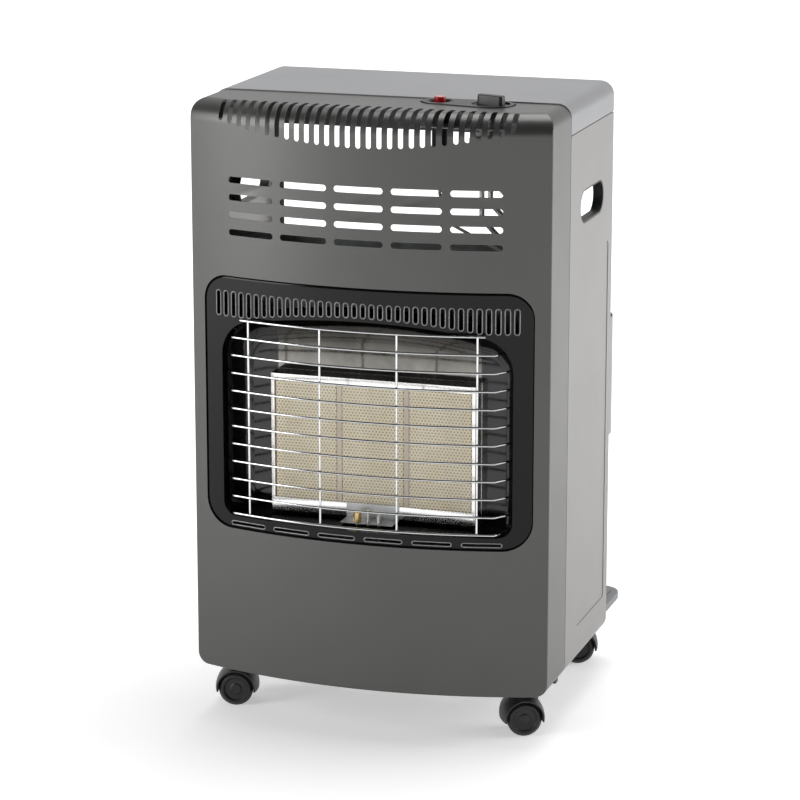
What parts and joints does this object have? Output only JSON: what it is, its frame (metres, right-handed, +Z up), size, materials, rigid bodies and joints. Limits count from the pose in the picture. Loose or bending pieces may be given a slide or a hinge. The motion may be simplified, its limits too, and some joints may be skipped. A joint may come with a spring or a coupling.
{
  "type": "gas cabinet heater",
  "caption": "Bowed steel cabinet heater with a ceramic plaque burner behind a wire guard, top controls and an open cylinder bay on swivel castors",
  "frame": {"origin": "on the floor, in the middle of the heater's bounding box", "axes": "+Z up, -Y towards the person in front of the burner, +X to that person's right"},
  "size_m": [0.42, 0.4128, 0.734],
  "materials": {
    "body_grey": "satin metallic grey paint",
    "cover_grey": "satin metallic grey paint",
    "shelf_grey": "satin light grey paint",
    "gloss_black": "gloss black enamel",
    "chrome_wire": "polished",
    "bright_sheet": "polished",
    "ceramic": "matte fired ceramic",
    "gasket": "matte mineral fibre",
    "zinc_sheet": "zinc plated",
    "pipe_metal": "bare drawn tube",
    "brass": "turned",
    "cast": "die cast",
    "spring_steel": "bright",
    "white_ceramic": "glazed ceramic",
    "lead_sleeve": "silicone sleeve",
    "black_plastic": "matte black moulding",
    "wheel_black": "matte black moulding",
    "button_red": "gloss"
  },
  "bodies": {
    "cabinet": {"front_panel": "body_grey", "side_panel_left": "body_grey", "side_panel_right": "body_grey", "top_cover": "cover_grey", "base_tray": "shelf_grey", "surround": "gloss_black", "control_plate": "gloss_black", "wire_guard": "chrome_wire", "reflector": "bright_sheet", "burner_frame": "bright_sheet", "plaque_rails": "bright_sheet", "plaque_left": "ceramic", "plaque_centre": "ceramic", "plaque_right": "ceramic", "plaque_gaskets": "gasket", "plenum_left": "zinc_sheet", "plenum_centre": "zinc_sheet", "plenum_right": "zinc_sheet", "heat_shield": "zinc_sheet", "injector_bracket": "zinc_sheet", "pilot_bracket": "zinc_sheet", "valve_bracket": "zinc_sheet", "castor_sockets": "zinc_sheet", "case_screws": "zinc_sheet", "supply_pipes": "pipe_metal", "pilot_pipe": "pipe_metal", "thermocouple": "pipe_metal", "injectors": "brass", "hose_nozzle": "brass", "pilot_burner": "brass", "gas_valve": "cast", "knob_spring": "spring_steel", "igniter_spring": "spring_steel", "spark_electrode": "white_ceramic", "ignition_lead": "lead_sleeve", "handle_insert_left": "black_plastic", "handle_insert_right": "black_plastic", "panel_clips": "black_plastic", "igniter_body": "black_plastic"},
    "valve_rotor": {"valve_rotor": "brass"},
    "control_knob": {"control_knob": "black_plastic", "valve_spindle": "spring_steel"},
    "igniter_button": {"igniter_button": "button_red"},
    "rear_guard": {"rear_guard": "body_grey"},
    "castor_front_left": {"castor_hood_front_left": "black_plastic", "castor_pins_front_left": "spring_steel"},
    "wheel_front_left_a": {"castor_wheel_front_left_a": "wheel_black"},
    "wheel_front_left_b": {"castor_wheel_front_left_b": "wheel_black"},
    "castor_front_right": {"castor_hood_front_right": "black_plastic", "castor_pins_front_right": "spring_steel"},
    "wheel_front_right_a": {"castor_wheel_front_right_a": "wheel_black"},
    "wheel_front_right_b": {"castor_wheel_front_right_b": "wheel_black"},
    "castor_rear_left": {"castor_hood_rear_left": "black_plastic", "castor_pins_rear_left": "spring_steel"},
    "wheel_rear_left_a": {"castor_wheel_rear_left_a": "wheel_black"},
    "wheel_rear_left_b": {"castor_wheel_rear_left_b": "wheel_black"},
    "castor_rear_right": {"castor_hood_rear_right": "black_plastic", "castor_pins_rear_right": "spring_steel"},
    "wheel_rear_right_a": {"castor_wheel_rear_right_a": "wheel_black"},
    "wheel_rear_right_b": {"castor_wheel_rear_right_b": "wheel_black"}
  },
  "joints": [
    {"name": "valve_turn", "type": "hinge", "parent": "cabinet", "child": "valve_rotor", "pos_m": [0.1244, -0.10762, 0.655], "axis": [0, 0, 1], "range_deg": [0, 240]},
    {"name": "knob_press", "type": "slide", "parent": "valve_rotor", "child": "control_knob", "axis": [0, 0, -1], "range_m": [0, 0.005], "stiffness_N_per_m": 800, "springref_m": -0.003, "deforming": ["knob_spring"]},
    {"name": "button_press", "type": "slide", "parent": "cabinet", "child": "igniter_button", "axis": [0, 0, -1], "range_m": [0, 0.006], "stiffness_N_per_m": 1000, "springref_m": -0.003, "deforming": ["igniter_spring"]},
    {"name": "guard_lift", "type": "slide", "parent": "cabinet", "child": "rear_guard", "axis": [0, 0, 1], "range_m": [0, 0.014]},
    {"name": "swivel_front_left", "type": "hinge", "parent": "cabinet", "child": "castor_front_left", "pos_m": [-0.174, -0.10362, 0.044], "axis": [0, 0, 1], "continuous": true},
    {"name": "spin_front_left_a", "type": "hinge", "parent": "castor_front_left", "child": "wheel_front_left_a", "pos_m": [-0.18275, -0.10574, 0.02], "axis": [-0.2351, 0.972, 0], "continuous": true},
    {"name": "spin_front_left_b", "type": "hinge", "parent": "castor_front_left", "child": "wheel_front_left_b", "pos_m": [-0.18275, -0.10574, 0.02], "axis": [-0.2351, 0.972, 0], "continuous": true},
    {"name": "swivel_front_right", "type": "hinge", "parent": "cabinet", "child": "castor_front_right", "pos_m": [0.174, -0.10362, 0.044], "axis": [0, 0, 1], "continuous": true},
    {"name": "spin_front_right_a", "type": "hinge", "parent": "castor_front_right", "child": "wheel_front_right_a", "pos_m": [0.16591, -0.10757, 0.02], "axis": [-0.4384, 0.8988, 0], "continuous": true},
    {"name": "spin_front_right_b", "type": "hinge", "parent": "castor_front_right", "child": "wheel_front_right_b", "pos_m": [0.16591, -0.10757, 0.02], "axis": [-0.4384, 0.8988, 0], "continuous": true},
    {"name": "swivel_rear_left", "type": "hinge", "parent": "cabinet", "child": "castor_rear_left", "pos_m": [-0.168, 0.16937, 0.044], "axis": [0, 0, 1], "continuous": true},
    {"name": "spin_rear_left_a", "type": "hinge", "parent": "castor_rear_left", "child": "wheel_rear_left_a", "pos_m": [-0.17563, 0.17414, 0.02], "axis": [0.5299, 0.848, 0], "continuous": true},
    {"name": "spin_rear_left_b", "type": "hinge", "parent": "castor_rear_left", "child": "wheel_rear_left_b", "pos_m": [-0.17563, 0.17414, 0.02], "axis": [0.5299, 0.848, 0], "continuous": true},
    {"name": "swivel_rear_right", "type": "hinge", "parent": "cabinet", "child": "castor_rear_right", "pos_m": [0.168, 0.16937, 0.044], "axis": [0, 0, 1], "continuous": true},
    {"name": "spin_rear_right_a", "type": "hinge", "parent": "castor_rear_right", "child": "wheel_rear_right_a", "pos_m": [0.15944, 0.16659, 0.02], "axis": [-0.309, 0.9511, 0], "continuous": true},
    {"name": "spin_rear_right_b", "type": "hinge", "parent": "castor_rear_right", "child": "wheel_rear_right_b", "pos_m": [0.15944, 0.16659, 0.02], "axis": [-0.309, 0.9511, 0], "continuous": true}
  ]
}
